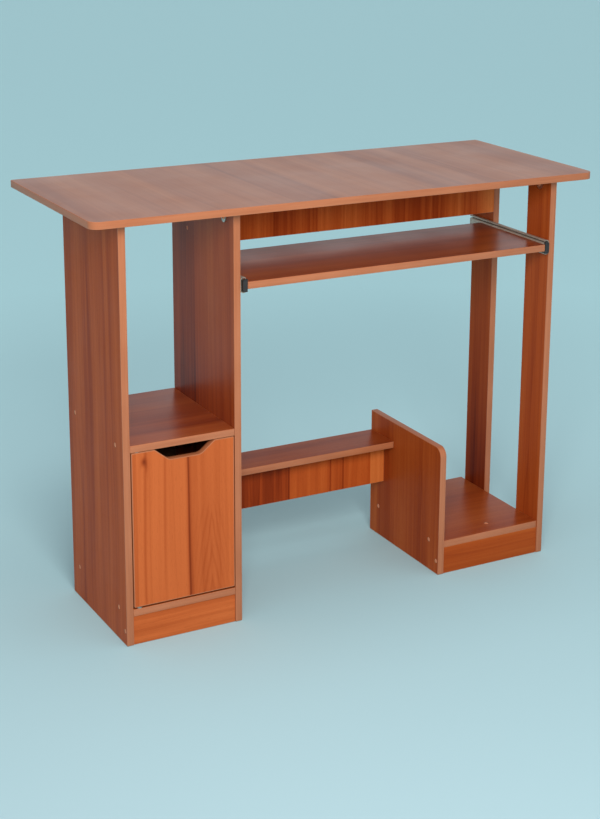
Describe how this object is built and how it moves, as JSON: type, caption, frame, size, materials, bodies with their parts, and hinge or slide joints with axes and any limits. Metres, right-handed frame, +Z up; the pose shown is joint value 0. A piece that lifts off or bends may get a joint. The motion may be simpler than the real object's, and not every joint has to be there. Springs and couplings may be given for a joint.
{
  "type": "computer desk with keyboard tray",
  "caption": "Flat-pack computer desk: rounded tabletop over a narrow cabinet with a pivoting door, a keyboard tray on ball slides, a footrest and a low computer bay by two plank legs.",
  "frame": {"origin": "on the floor, under the middle of the tabletop (bottom centre of the bounding box)", "axes": "+X to the right along the width as seen by the user, +Y to the back, +Z up; the user sits on the -Y side"},
  "size_m": [0.976, 0.392, 0.75],
  "materials": {
    "top_laminate": "semi-gloss reddish-brown woodgrain laminate with lighter edge banding",
    "panel_laminate": "semi-gloss reddish-brown woodgrain laminate with lighter edge banding",
    "door_laminate": "semi-gloss orange-brown woodgrain laminate with dark streaks",
    "hardboard": "dull brown hardboard",
    "slide_steel": "bright zinc-plated rolled sheet",
    "bumper_plastic": "satin black moulded plastic",
    "catch_plastic": "satin dark moulded plastic",
    "bracket_zinc": "zinc-plated pressed sheet",
    "screw_steel": "yellow-passivated flat-head screw",
    "pivot_steel": "bright turned steel pin"
  },
  "bodies": {
    "desk": {"apron_left_screw_1": "screw_steel", "apron_left_screw_2": "screw_steel", "apron_rail": "panel_laminate", "apron_right_screw_1": "screw_steel", "apron_right_screw_2": "screw_steel", "bay_plinth": "panel_laminate", "bay_shelf": "panel_laminate", "bay_shelf_screw": "screw_steel", "bay_side_panel": "panel_laminate", "bay_side_screw_1": "screw_steel", "bay_side_screw_2": "screw_steel", "bay_side_screw_3": "screw_steel", "cabinet_back_panel": "hardboard", "cabinet_bottom_shelf": "panel_laminate", "cabinet_left_panel": "panel_laminate", "cabinet_left_screw_1": "screw_steel", "cabinet_left_screw_2": "screw_steel", "cabinet_left_screw_3": "screw_steel", "cabinet_left_screw_4": "screw_steel", "cabinet_left_screw_5": "screw_steel", "cabinet_mid_shelf": "panel_laminate", "cabinet_plinth": "panel_laminate", "cabinet_right_panel": "panel_laminate", "cabinet_right_screw_1": "screw_steel", "cabinet_right_screw_2": "screw_steel", "cabinet_right_screw_3": "screw_steel", "cabinet_right_screw_4": "screw_steel", "cabinet_right_screw_5": "screw_steel", "door_lower_pivot": "pivot_steel", "door_upper_pivot": "pivot_steel", "footrest_board": "panel_laminate", "footrest_left_screw_1": "screw_steel", "footrest_left_screw_2": "screw_steel", "footrest_right_screw_1": "screw_steel", "footrest_right_screw_2": "screw_steel", "footrest_stretcher": "panel_laminate", "front_right_leg": "panel_laminate", "left_slide_channel": "slide_steel", "leg_screw_1": "screw_steel", "leg_screw_2": "screw_steel", "leg_screw_3": "screw_steel", "magnetic_catch": "catch_plastic", "rear_right_leg": "panel_laminate", "right_slide_channel": "slide_steel", "tabletop": "top_laminate", "top_bracket_left_front": "bracket_zinc", "top_bracket_left_rear": "bracket_zinc", "top_bracket_middle_front": "bracket_zinc", "top_bracket_middle_rear": "bracket_zinc", "top_bracket_right_front": "bracket_zinc", "top_bracket_right_rear": "bracket_zinc"},
    "door": {"cabinet_door": "door_laminate", "catch_strike_plate": "bracket_zinc"},
    "tray": {"keyboard_tray": "panel_laminate", "left_slide_runner": "slide_steel", "right_slide_runner": "slide_steel", "left_slide_bumper": "bumper_plastic", "right_slide_bumper": "bumper_plastic"},
    "left_ball_cage": {"left_slide_ball_cage": "slide_steel"},
    "right_ball_cage": {"right_slide_ball_cage": "slide_steel"}
  },
  "joints": [
    {"name": "tray_slide", "type": "slide", "parent": "desk", "child": "tray", "axis": [0, -1, 0], "range_m": [0, 0.18]},
    {"name": "left_cage_slide", "type": "slide", "parent": "desk", "child": "left_ball_cage", "axis": [0, -1, 0], "range_m": [0, 0.09]},
    {"name": "right_cage_slide", "type": "slide", "parent": "desk", "child": "right_ball_cage", "axis": [0, -1, 0], "range_m": [0, 0.09]},
    {"name": "door_hinge", "type": "hinge", "parent": "desk", "child": "door", "pos_m": [-0.4055, -0.15525, 0.2065], "axis": [0, 0, -1], "range_deg": [0, 110]}
  ],
  "couplings": [
    {"joint": "left_cage_slide", "follows": "tray_slide", "ratio": 0.5},
    {"joint": "right_cage_slide", "follows": "tray_slide", "ratio": 0.5}
  ]
}
